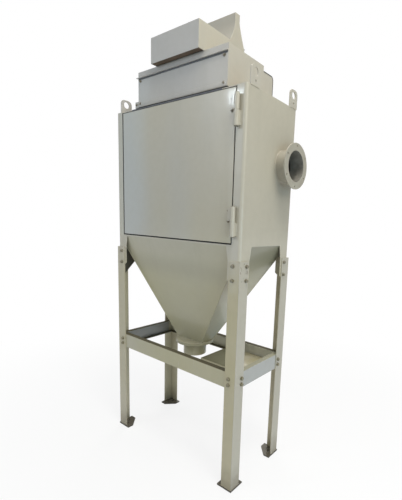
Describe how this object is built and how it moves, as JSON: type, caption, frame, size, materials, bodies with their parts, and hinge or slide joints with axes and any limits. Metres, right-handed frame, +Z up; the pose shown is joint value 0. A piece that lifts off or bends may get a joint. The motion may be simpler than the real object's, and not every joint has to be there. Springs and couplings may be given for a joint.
{
  "type": "cartridge dust collector",
  "caption": "Sheet metal cartridge dust collector on braced legs, with hopper, round side inlet, hinged front door, roof plenum, exhaust hood and fan stack.",
  "frame": {"origin": "on the floor, under the middle of the box round the whole machine", "axes": "+X to the right along the door front, -Y out of the door front, +Z up"},
  "size_m": [1.24, 0.556, 2.903],
  "materials": {
    "beige_paint": "satin powder coat, light beige grey",
    "grey_paint": "satin powder coat, the same paint as it reads on the front faces",
    "frame_paint": "satin powder coat on rolled angles and folded channels",
    "dark_seal": "matt dark gasket strip",
    "dark_paint": "dark satin paint",
    "filter_media": "pleated polyester media, off white",
    "zinc_steel": "zinc plated end caps",
    "dark_liner": "dark brown lining panel",
    "rubber_seal": "black closed cell seal",
    "pin_steel": "turned steel pins"
  },
  "bodies": {
    "cabinet": {"side_panel_left": "beige_paint", "side_panel_right": "beige_paint", "back_panel": "beige_paint", "front_sill": "beige_paint", "door_frame": "beige_paint", "tube_sheet": "beige_paint", "filter_media": "filter_media", "filter_caps": "zinc_steel", "hopper": "beige_paint", "outlet_flange": "beige_paint", "outlet_collar": "beige_paint", "inlet_collar": "beige_paint", "inlet_flange": "beige_paint", "gusset_front_left": "dark_paint", "gusset_rear_left": "dark_paint", "leg_front_left": "frame_paint", "leg_front_right": "frame_paint", "leg_rear_left": "frame_paint", "leg_rear_right": "frame_paint", "rail_front": "frame_paint", "rail_rear": "frame_paint", "rail_left": "frame_paint", "rail_right": "frame_paint", "deck_plate": "frame_paint", "lug_front_left": "beige_paint", "lug_front_right": "beige_paint", "lug_rear_left": "beige_paint", "lug_rear_right": "beige_paint", "plenum_neck_frame": "dark_seal", "plenum_floor": "beige_paint", "plenum_side_left": "beige_paint", "plenum_side_right": "beige_paint", "plenum_back": "beige_paint", "plenum_top": "beige_paint", "drip_strip": "grey_paint", "access_panel": "grey_paint", "exhaust_hood": "grey_paint", "hood_liner": "dark_liner", "blower_stack": "grey_paint", "hinge_frame_halves": "beige_paint", "hinge_pins": "pin_steel"},
    "door": {"door_panel": "grey_paint", "door_seal": "rubber_seal", "hinge_door_halves": "beige_paint"}
  },
  "joints": [
    {"name": "door_hinge", "type": "hinge", "parent": "cabinet", "child": "door", "pos_m": [0.482, -0.262, 1.9235], "axis": [0, 0, 1], "range_deg": [0, 120]}
  ]
}
